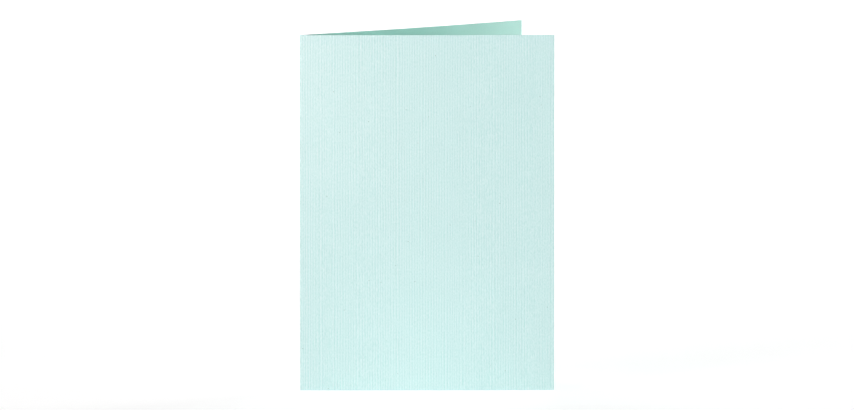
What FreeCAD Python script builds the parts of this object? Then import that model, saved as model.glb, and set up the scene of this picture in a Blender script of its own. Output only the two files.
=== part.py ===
"""A blank greeting card: one sheet of ribbed board, scored down its middle, folded, and standing part open.

The card is drawn as its section, seen from above, and raised to its height. Lengths are in millimetres.
The front panel faces -Y, the fold is on the -X side, and +Z runs up the fold.
"""

import FreeCAD
import Part

import math
import os

# The folded card
panel_width = 105.0  # from the outside of the fold to the free edge of a panel
panel_height = 148.0
board_thickness = 0.30  # over the crowns of the ribs

# Ribs embossed on the outside of both panels, parallel to the fold
rib_pitch = 1.10
rib_depth = 0.05
rib_crown = 0.35  # flat top of a rib
rib_valley = 0.25  # flat floor between two ribs

# The scored fold
fold_gap = 0.30  # between the two inner faces, where they leave the fold
score_depth = 0.08  # how far the spine is pressed in below the crowns
score_shoulder = 0.20  # slope from the pressed spine up to the first crown
bead_rise = 0.06  # crushed board that stands up along the inside of the fold

# How the card stands
opening_angle = 28.3  # degrees, between the chords of the two panels
front_bow = 0.7  # the middle of the front panel stands out from its chord by this much
back_bow = 1.8  # the middle of the back panel leans in towards the front by this much

# Arcs that the smooth inner face of one panel is drawn with
inner_spans = 12

# The section is drawn about the fold's own axis, which the spine wraps round
rib_flank = (rib_pitch - rib_crown - rib_valley) / 2
crown_radius = fold_gap / 2 + board_thickness
spine_radius = crown_radius - score_depth
panel_length = panel_width - spine_radius


def point(x, y):
    return FreeCAD.Vector(x, y, 0)


class Panel:
    """One half of the sheet, followed along its crowns from the fold to its free edge.

    The panel is bowed to a shallow arc. Its outer face is on its left-hand side as it leaves
    the fold where outside is 1, and on its right-hand side where outside is -1.
    """

    def __init__(self, chord_angle, bow, outside):
        self.outside = outside
        self.curvature = 8 * bow / panel_length**2
        self.heading = chord_angle - self.curvature * panel_length / 2
        self.start = self.outward(0) * crown_radius

    def outward(self, along):
        heading = self.heading + self.curvature * along
        return point(-math.sin(heading), math.cos(heading)) * self.outside

    def at(self, along, depth):
        """The point that far along the panel, and that deep below its crowns."""
        half_turn = self.curvature * along / 2
        chord = along * math.sin(half_turn) / half_turn if half_turn else along
        direction = point(math.cos(self.heading + half_turn), math.sin(self.heading + half_turn))
        return self.start + direction * chord - self.outward(along) * depth

    def outer_face(self):
        """The spine's edge, then crown and valley in turn, out to the free edge."""
        corners = [(0, score_depth)]
        for rib in range(int((panel_length - score_shoulder) / rib_pitch)):
            crown = score_shoulder + rib * rib_pitch
            valley = crown + rib_crown + rib_flank
            corners += [(crown, 0), (crown + rib_crown, 0)]
            corners += [(valley, rib_depth), (valley + rib_valley, rib_depth)]
        corners[-1] = (panel_length, rib_depth)  # the last valley runs out to the free edge
        return lines([self.at(along, depth) for along, depth in corners])

    def free_edge(self):
        return lines([self.at(panel_length, rib_depth), self.at(panel_length, board_thickness)])

    def inner_face(self):
        half_span = panel_length / inner_spans / 2
        points = [self.at(i * half_span, board_thickness) for i in range(2 * inner_spans + 1)]
        return [arc(*points[i : i + 3]) for i in range(0, 2 * inner_spans, 2)]


def lines(points):
    return [Part.LineSegment(a, b).toShape() for a, b in zip(points, points[1:])]


def arc(start, middle, end):
    """An arc through three points, or a straight line where the panel has no bow."""
    off_line = (middle - start).cross(end - start).Length
    if off_line < 1e-9:
        return Part.LineSegment(start, end).toShape()
    return Part.Arc(start, middle, end).toShape()


def fold(front, back):
    """The pressed spine round the outside of the fold, and the bead along its inside."""
    between = (front.heading + back.heading) / 2
    into_wedge = point(math.cos(between), math.sin(between))
    spine = arc(front.at(0, score_depth), into_wedge * -spine_radius, back.at(0, score_depth))

    front_corner = front.at(0, board_thickness)
    back_corner = back.at(0, board_thickness)
    bead_top = (front_corner + back_corner) / 2 + into_wedge * bead_rise
    return [spine, arc(front_corner, bead_top, back_corner)]


def folded_card():
    front = Panel(0, front_bow, outside=-1)
    back = Panel(math.radians(opening_angle), back_bow, outside=1)
    outline = fold(front, back)
    for panel in (front, back):
        outline += panel.outer_face() + panel.free_edge() + panel.inner_face()
    section = Part.Face(Part.Wire(Part.__sortEdges__(outline)))
    card = section.extrude(FreeCAD.Vector(0, 0, panel_height))

    # The origin is at the foot of the card, in the middle of the box round it
    box = card.BoundBox
    card.translate(FreeCAD.Vector(-box.Center.x, -box.Center.y, -box.ZMin))
    return card


os.makedirs("parts", exist_ok=True)
folded_card().exportStep("parts/folded_card.step")
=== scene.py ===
from math import cos, pi, radians, sin

import bpy
import numpy as np
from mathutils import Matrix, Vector


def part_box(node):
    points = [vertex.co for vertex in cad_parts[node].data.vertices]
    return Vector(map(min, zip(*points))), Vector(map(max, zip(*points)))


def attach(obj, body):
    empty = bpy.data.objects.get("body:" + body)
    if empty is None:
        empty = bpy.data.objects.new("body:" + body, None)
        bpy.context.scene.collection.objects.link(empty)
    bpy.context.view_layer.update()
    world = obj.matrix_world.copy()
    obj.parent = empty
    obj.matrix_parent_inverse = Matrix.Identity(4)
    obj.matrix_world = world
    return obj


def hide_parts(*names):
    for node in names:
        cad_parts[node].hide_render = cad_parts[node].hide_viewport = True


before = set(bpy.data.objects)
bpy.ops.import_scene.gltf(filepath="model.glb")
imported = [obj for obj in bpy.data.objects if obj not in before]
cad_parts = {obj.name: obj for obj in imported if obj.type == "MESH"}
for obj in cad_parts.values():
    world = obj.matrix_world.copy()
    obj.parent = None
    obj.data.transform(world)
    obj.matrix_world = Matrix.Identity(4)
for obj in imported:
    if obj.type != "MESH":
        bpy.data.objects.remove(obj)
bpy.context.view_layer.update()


# The folded sheet
# One blank of card stock, coloured pale mint right through, with fine upright ribs rolled into its
# outer side and a smooth inner side. It is cut square, scored down its middle, folded once over the
# score, and stands part open with both panels sprung to a slight bow.

panel_width = 0.105  # from the outside of the fold to the free edge of a panel
board_thickness = 0.00030  # over the crowns of the ribs
opening_angle = radians(28.3)
front_bow = 0.0007
back_bow = 0.0018
fold_gap = 0.00030  # between the inner faces, where they leave the fold
score_depth = 0.00008
score_shoulder = 0.00020
bead_rise = 0.00006

crown_radius = fold_gap / 2 + board_thickness
spine_radius = crown_radius - score_depth
panel_length = panel_width - spine_radius
foot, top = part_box("folded_card")


def bowed_panel(along, chord_angle, bow, side):
    """A panel's crowns seen from above, and the way out of the board, at each distance along it."""
    curvature = 8 * bow / panel_length**2
    half_turn = curvature * along / 2
    start = chord_angle - curvature * panel_length / 2
    chord = along * np.sinc(half_turn / pi)
    line = chord[:, None] * np.column_stack([np.cos(start + half_turn), np.sin(start + half_turn)])
    heading = start + 2 * half_turn
    outward = side * np.column_stack([-np.sin(heading), np.cos(heading)])
    return line + crown_radius * outward[0], outward


# The sheet is followed from the front's free edge, round the spine, to the back's free edge
rib_pitch = 0.00110
columns_per_rib = 5
ribbed_columns = round((panel_length - score_shoulder) * columns_per_rib / rib_pitch)
along = np.r_[0, score_shoulder / 2, np.linspace(score_shoulder, panel_length, ribbed_columns + 1)]
front_line, front_out = bowed_panel(along, 0, front_bow, -1)
back_line, back_out = bowed_panel(along, opening_angle, back_bow, 1)

spine_columns = 8
leaves_front = np.arctan2(front_out[0, 1], front_out[0, 0]) + 2 * pi
meets_back = np.arctan2(back_out[0, 1], back_out[0, 0])
turn = np.linspace(leaves_front, meets_back, spine_columns + 2)[1:-1]
spine_out = np.column_stack([np.cos(turn), np.sin(turn)])
half_spine = crown_radius * (leaves_front - meets_back) / 2
round_spine = half_spine * np.linspace(-1, 1, spine_columns + 2)[1:-1]

crowns = np.vstack([front_line[::-1], crown_radius * spine_out, back_line])
outward = np.vstack([front_out[::-1], spine_out, back_out])
place = np.r_[-half_spine - along[::-1], round_spine, half_spine + along]
rows = 82
height = np.linspace(foot.z, top.z, rows + 1)

# The roller's ribs are even, but the felt and pulp of the board bend, weaken and break them
rib_depth = 0.00005
half_crown = 0.16 * rib_pitch  # from the edge of a crown to its middle
rib_lean = 0.13  # in rib pitches, over the whole height of the card
rib_wobble = 0.05  # in rib pitches, every few millimetres
wobble_reach = 0.009
uneven_ribs = 0.25  # how much one rib is stronger or weaker than the next
broken_ribs = 0.45  # how much a rib weakens and recovers along itself
break_reach = 0.0024
strongest = 1.7  # where an even rib is 1
rib_swing = 0.65  # how far an even rib goes up and down from its middle, in rib depths
deepest_valley = 2 * rib_depth
blending_loss = 1.35  # makes up for what blending takes off the spread of random values
embosser = np.random.default_rng(20)


def drift(reach_across, reach_up):
    """Smooth random values over the flat sheet, spread by about 1, that change within those reaches."""
    across = (place - place[0]) / reach_across
    up = (height - height[0]) / reach_up
    lattice = embosser.standard_normal((int(across[-1]) + 2, int(up[-1]) + 2))
    column, row = across.astype(int), up.astype(int)
    across, up = across - column, up - row
    across = (across * across * (3 - 2 * across))[:, None]
    up = (up * up * (3 - 2 * up))[None, :]
    near = lattice[column][:, row] * (1 - up) + lattice[column][:, row + 1] * up
    far = lattice[column + 1][:, row] * (1 - up) + lattice[column + 1][:, row + 1] * up
    return blending_loss * (near * (1 - across) + far * across)


twice_height = 2 * (top.z - foot.z)  # too far for a second change within the card's height
rib_reach = 1.2 * rib_pitch  # a little over one rib, so that neighbours differ
from_first_crown = np.abs(place)[:, None] - half_spine - score_shoulder - half_crown
strayed = rib_lean * drift(3 * rib_pitch, twice_height)
strayed = strayed + rib_wobble * drift(2 * rib_pitch, wobble_reach)
strength = 1 + uneven_ribs * drift(rib_reach, twice_height)
strength = strength + broken_ribs * drift(rib_reach, break_reach)
wave = np.cos(2 * pi * (from_first_crown / rib_pitch + strayed)) * np.clip(strength, 0, strongest)
ribs = np.clip(rib_depth * (rib_swing - rib_swing * wave), 0, deepest_valley)
pressed = np.clip(1 - (np.abs(place) - half_spine) / score_shoulder, 0, 1)[:, None]
depth = pressed * score_depth + (1 - pressed) * ribs
depth[[0, -1]] = rib_depth  # the knife leaves both free edges level with the floor of a rib
outer = crowns[:, None, :] - outward[:, None, :] * depth[:, :, None]

# The inner side has one column to a rib, and a bead of crushed board runs up inside the fold
fold_column = len(along) - 1
front_columns = np.r_[0:fold_column - 2:columns_per_rib, fold_column]
bead_columns = np.arange(fold_column + 2, fold_column + spine_columns, 2)
last_column = len(place) - 1
inner_columns = np.r_[front_columns, bead_columns, last_column - front_columns[::-1]]
inner = crowns[inner_columns] - board_thickness * outward[inner_columns]
bead = slice(len(front_columns), len(front_columns) + len(bead_columns))
front_corner, back_corner = inner[bead.start - 1], inner[bead.stop]
share = np.linspace(0, 1, len(bead_columns) + 2)[1:-1, None]
into_wedge = -spine_out.mean(0) / np.linalg.norm(spine_out.mean(0))
across_fold = front_corner * (1 - share) + back_corner * share
inner[bead] = across_fold + into_wedge * bead_rise * 4 * share * (1 - share)

plan = np.concatenate([outer.reshape(-1, 2), np.repeat(inner, rows + 1, axis=0)])
plan += [foot.x + spine_radius, foot.y - crowns[:, 1].min()]
points = np.column_stack([plan, np.tile(height, len(place) + len(inner))])


def outer_at(column, row):
    return int(column * (rows + 1) + row)


def inner_at(column, row):
    return outer_at(len(place) + column, row)


OUTER_SIDE, INNER_SIDE, CUT_EDGE = range(3)
faces = []
sides = []
for row in range(rows):
    for column in range(last_column):
        low, high = outer_at(column, row), outer_at(column, row + 1)
        next_low, next_high = outer_at(column + 1, row), outer_at(column + 1, row + 1)
        faces.append([low, high, next_high, next_low])
        sides.append(OUTER_SIDE)
    for column in range(len(inner) - 1):
        low, high = inner_at(column, row), inner_at(column, row + 1)
        next_low, next_high = inner_at(column + 1, row), inner_at(column + 1, row + 1)
        faces.append([low, next_low, next_high, high])
        sides.append(INNER_SIDE)
    for outer_end, inner_end, way in ((0, 0, 1), (last_column, len(inner) - 1, -1)):
        ring = [outer_at(outer_end, row), inner_at(inner_end, row)]
        ring += [inner_at(inner_end, row + 1), outer_at(outer_end, row + 1)]
        faces.append(ring[::way])
        sides.append(CUT_EDGE)
for row, way in ((0, 1), (rows, -1)):
    for column, (start, end) in enumerate(zip(inner_columns, inner_columns[1:])):
        ring = [outer_at(outer_column, row) for outer_column in range(start, end + 1)]
        ring += [inner_at(column + 1, row), inner_at(column, row)]
        faces.append(ring[::way])
        sides.append(CUT_EDGE)

sheet_mesh = bpy.data.meshes.new("folded_sheet")
sheet_mesh.from_pydata(points.tolist(), [], faces)
sheet_mesh.polygons.foreach_set("material_index", sides)
sheet_mesh.polygons.foreach_set("use_smooth", [True] * len(faces))
sheet_mesh.set_sharp_from_angle(angle=radians(40))
ribbing = np.zeros(len(points))
ribbing[:wave.size] = (wave * (1 - pressed)).ravel()
sheet_mesh.attributes.new("ribbing", "FLOAT", "POINT").data.foreach_set("value", ribbing)
sheet = bpy.data.objects.new("folded_sheet", sheet_mesh)
bpy.context.scene.collection.objects.link(sheet)


def add(tree, kind, inputs=(), **settings):
    """A shader node with its settings, and with its inputs set or joined up."""
    made = tree.nodes.new(kind)
    for name, value in settings.items():
        setattr(made, name, value)
    for name, value in dict(inputs).items():
        if isinstance(value, bpy.types.NodeSocket):
            tree.links.new(value, made.inputs[name])
        else:
            made.inputs[name].default_value = value
    return made


def maths(tree, operation, *values):
    """The result of a Math node."""
    return add(tree, "ShaderNodeMath", dict(enumerate(values)), operation=operation).outputs[0]


# The board is dyed right through, and the dye lies unevenly in it, freckled and clouded by the pulp, with
# a rare dark fleck. The valleys of the ribs are coloured darker: partly denser dye, partly painted shade
fibres_lie_upright = (1, 1, 0.33)
fleck_heart = 0.02  # in fleck spacings
fleck_rim = 0.04

board = bpy.data.node_groups.new("dyed board with painted rib shade", "ShaderNodeTree")
for name, usual in (
    ("Grain Size", 0.0004),
    ("Cloud Size", 0.004),
    ("Fleck Spacing", 0.006),
    ("Rib Share", 0.0),
    ("Grain Share", 1.0),
    ("Cloud Share", 0.2),
):
    board.interface.new_socket(name, in_out="INPUT", socket_type="NodeSocketFloat").default_value = usual
for name in ("Dye And Shade", "Grain", "Fleck"):
    board.interface.new_socket(name, in_out="OUTPUT", socket_type="NodeSocketFloat")
wanted = board.nodes.new("NodeGroupInput").outputs
found = board.nodes.new("NodeGroupOutput").inputs
on_sheet = add(board, "ShaderNodeTexCoord").outputs["Object"]
along_ribs = add(
    board, "ShaderNodeVectorMath", {0: on_sheet, 1: fibres_lie_upright}, operation="MULTIPLY"
).outputs[0]
grain_scale = maths(board, "DIVIDE", 1.0, wanted["Grain Size"])
cloud_scale = maths(board, "DIVIDE", 1.0, wanted["Cloud Size"])
fleck_scale = maths(board, "DIVIDE", 1.0, wanted["Fleck Spacing"])
grain = add(
    board, "ShaderNodeTexNoise", {"Vector": along_ribs, "Scale": grain_scale, "Detail": 3.0}
).outputs["Fac"]
cloud = add(
    board, "ShaderNodeTexNoise", {"Vector": on_sheet, "Scale": cloud_scale, "Detail": 4.0}
).outputs["Fac"]
speck = add(
    board, "ShaderNodeTexVoronoi", {"Vector": on_sheet, "Scale": fleck_scale}
).outputs["Distance"]
ribbed = add(board, "ShaderNodeAttribute", attribute_name="ribbing").outputs["Fac"]

dye_and_shade = maths(board, "MULTIPLY_ADD", maths(board, "SUBTRACT", grain, 0.5), wanted["Grain Share"], 0.5)
dye_and_shade = maths(board, "MULTIPLY_ADD", maths(board, "SUBTRACT", cloud, 0.5), wanted["Cloud Share"], dye_and_shade)
# Painted shade, together with denser dye: the valleys of the ribs are made darker
dye_and_shade = maths(board, "SUBTRACT", dye_and_shade, maths(board, "MULTIPLY", ribbed, wanted["Rib Share"]))
fleck = add(
    board,
    "ShaderNodeMapRange",
    {"Value": speck, "From Min": fleck_heart, "From Max": fleck_rim, "To Min": 1.0, "To Max": 0.0},
).outputs["Result"]
board.links.new(dye_and_shade, found["Dye And Shade"])
board.links.new(grain, found["Grain"])
board.links.new(fleck, found["Fleck"])


# A Mix node set to colours has its share, its two colours and its result at these places
SHARE, FIRST, SECOND = 0, 6, 7
MIXED = 2
fleck_colour = (0.30, 0.52, 0.47, 1)
roughness_spread = 0.06


def board_finish(name, thin_dye, deep_dye_and_shade, roughness, tooth_height, **dyeing):
    """Uncoated board between its lightest and deepest colours, with a matt tooth; in rib valleys the deep
    colour is partly painted shade.
    """
    finish = bpy.data.materials.new(name)
    finish.use_nodes = True
    tree = finish.node_tree
    paper = tree.nodes["Principled BSDF"].inputs
    paper["IOR"].default_value = 1.45
    paper["Specular IOR Level"].default_value = 0.25
    board_marks = add(tree, "ShaderNodeGroup", node_tree=board)
    for setting, value in dyeing.items():
        board_marks.inputs[setting.replace("_", " ").title()].default_value = value

    dyes_and_shade = {SHARE: board_marks.outputs["Dye And Shade"], FIRST: (*thin_dye, 1), SECOND: (*deep_dye_and_shade, 1)}
    tinted = add(tree, "ShaderNodeMix", dyes_and_shade, data_type="RGBA").outputs[MIXED]
    flecks = {SHARE: board_marks.outputs["Fleck"], FIRST: tinted, SECOND: fleck_colour}
    flecked = add(tree, "ShaderNodeMix", flecks, data_type="RGBA").outputs[MIXED]
    tree.links.new(flecked, paper["Base Color"])

    dull = add(tree, "ShaderNodeMapRange", {"Value": board_marks.outputs["Grain"]})
    dull.inputs["To Min"].default_value = roughness - roughness_spread
    dull.inputs["To Max"].default_value = roughness + roughness_spread
    tree.links.new(dull.outputs["Result"], paper["Roughness"])
    tooth = add(tree, "ShaderNodeBump", {"Height": board_marks.outputs["Grain"], "Distance": tooth_height})
    tree.links.new(tooth.outputs["Normal"], paper["Normal"])
    sheet_mesh.materials.append(finish)


# The ribbed side goes towards its deep colour in the rib valleys, partly as denser dye and partly as
# painted shade
board_finish(
    "ribbed_mint_board", (0.748, 0.941, 0.942), (0.480, 0.780, 0.758), 0.85, 0.00005,
    rib_share=0.18, grain_share=1.3, grain_size=0.0003, cloud_share=0.15, cloud_size=0.020,
)
# The inner side is a greener mint than the outer: partly its own colour, partly painted shade, the deeper
# green the inside of the fold takes in shade
board_finish(
    "smooth_inner_board", (0.620, 0.915, 0.845), (0.580, 0.895, 0.820), 0.75, 0.00001,
    cloud_size=0.006,
)
board_finish(
    "cut_board_edge", (0.670, 0.880, 0.850), (0.610, 0.850, 0.820), 0.92, 0.00003,
    grain_size=0.0001, cloud_size=0.001,
)

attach(sheet, "root")
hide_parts("folded_card")


# The table top
# A plain white paper sweep that the card stands on, matt, with the card's faint shadow on it. It isn't
# part of the card. What the camera or a glossy surface sees of it is lifted to white.

sweep_width = 12
sweep_lift = 0.63


def looked_at(tree):
    """1 for what the camera, a mirror or glass sees, and 0 for what only lights something else."""
    ray = add(tree, "ShaderNodeLightPath").outputs
    mirrored = maths(tree, "ADD", ray["Is Glossy Ray"], ray["Is Transmission Ray"])
    return maths(tree, "ADD", ray["Is Camera Ray"], mirrored)


bpy.ops.mesh.primitive_plane_add(size=sweep_width, location=(0, 0, foot.z))
table_top = bpy.context.object
table_top.name = "table_top"
sweep = bpy.data.materials.new("white_sweep")
sweep.use_nodes = True
sweep_tree = sweep.node_tree
sweep_paper = sweep_tree.nodes["Principled BSDF"].inputs
sweep_paper["Base Color"].default_value = (0.9, 0.9, 0.9, 1)
sweep_paper["Roughness"].default_value = 0.9
sweep_paper["Specular IOR Level"].default_value = 0.0
sweep_paper["Emission Color"].default_value = (1, 1, 1, 1)
lift = add(sweep_tree, "ShaderNodeMapRange", {"Value": looked_at(sweep_tree), "To Max": sweep_lift})
sweep_tree.links.new(lift.outputs["Result"], sweep_paper["Emission Strength"])
table_top.data.materials.append(sweep)


# The lamps
# Wide soft boxes stand low at the left, in front and at the right, one shines into the card's open
# mouth and two light its back. Two small reflectors close in front lift the foot and the upper left
# corner, which is a little warmer. The room is white.

middle_of_card = (0, 0, 0.075)
top_left_corner = (-0.04, 0, 0.14)
room_light = 0.12


def soft_box(name, at, width, height, power, aim=middle_of_card, colour=(1, 1, 1)):
    """A flat lamp that faces the card and isn't seen itself."""
    lamp = bpy.data.lights.new(name, "AREA")
    lamp.shape = "RECTANGLE"
    lamp.size = width
    lamp.size_y = height
    lamp.energy = power
    lamp.color = colour
    box = bpy.data.objects.new(name, lamp)
    box.location = at
    box.rotation_euler = (Vector(aim) - Vector(at)).to_track_quat("-Z", "Y").to_euler()
    box.visible_camera = False
    bpy.context.scene.collection.objects.link(box)


soft_box("left_lamp", (-1.3, -1.1, 0.15), 0.6, 0.3, 19.2, colour=(1.0, 0.912, 0.907))
soft_box("front_lamp", (0.69, -1.29, 0.07), 0.6, 0.16, 4.4)
soft_box("right_lamp", (1.2, -0.8, 0.16), 0.5, 0.3, 5.2)
soft_box("mouth_lamp", (1.085, 0.605, 0.08), 0.24, 0.2, 16.3)
soft_box("back_lamp", (-0.7, 1.5, 0.55), 1.0, 1.0, 12.0)
soft_box("low_back_lamp", (-0.85, 1.3, 0.07), 0.6, 0.14, 6.0)
soft_box("foot_reflector", (-0.005, -0.085, 0.010), 0.04, 0.04, 0.0029, aim=(0, 0, 0))
soft_box(
    "top_reflector", (-0.08, -0.10, 0.13), 0.05, 0.04, 0.009, aim=top_left_corner, colour=(1.0, 0.6, 0.58)
)

room = bpy.data.worlds.new("white_room")
room.use_nodes = True
bpy.context.scene.world = room
air = room.node_tree
glow = add(air, "ShaderNodeMapRange", {"Value": looked_at(air), "To Min": room_light, "To Max": 1.0})
air.nodes["Background"].inputs["Color"].default_value = (1, 1, 1, 1)
air.links.new(glow.outputs["Result"], air.nodes["Background"].inputs["Strength"])


# The camera
# It looks from far off and a little above the card, straight at its front, with a long lens, so that
# the panels' edges stay upright.

azimuth, elevation = radians(-0.62), radians(7.84)
distance = 5.0
picture_width = 854
focal_length = 12118  # in pixels of that picture
aim_past_fold = 0.05207
aim_behind_front = 0.00115
aim_height = 0.07726
aim = Vector((foot.x + spine_radius + aim_past_fold, foot.y + aim_behind_front, aim_height))
toward_camera = Vector((sin(azimuth) * cos(elevation), -cos(azimuth) * cos(elevation), sin(elevation)))
lens = bpy.data.cameras.new("camera")
lens.sensor_width = 36
lens.lens = focal_length * lens.sensor_width / picture_width
camera = bpy.data.objects.new("camera", lens)
camera.location = aim + toward_camera * distance
camera.rotation_euler = (-toward_camera).to_track_quat("-Z", "Y").to_euler()
bpy.context.scene.collection.objects.link(camera)
bpy.context.scene.camera = camera

bpy.context.scene.view_settings.view_transform = "Standard"
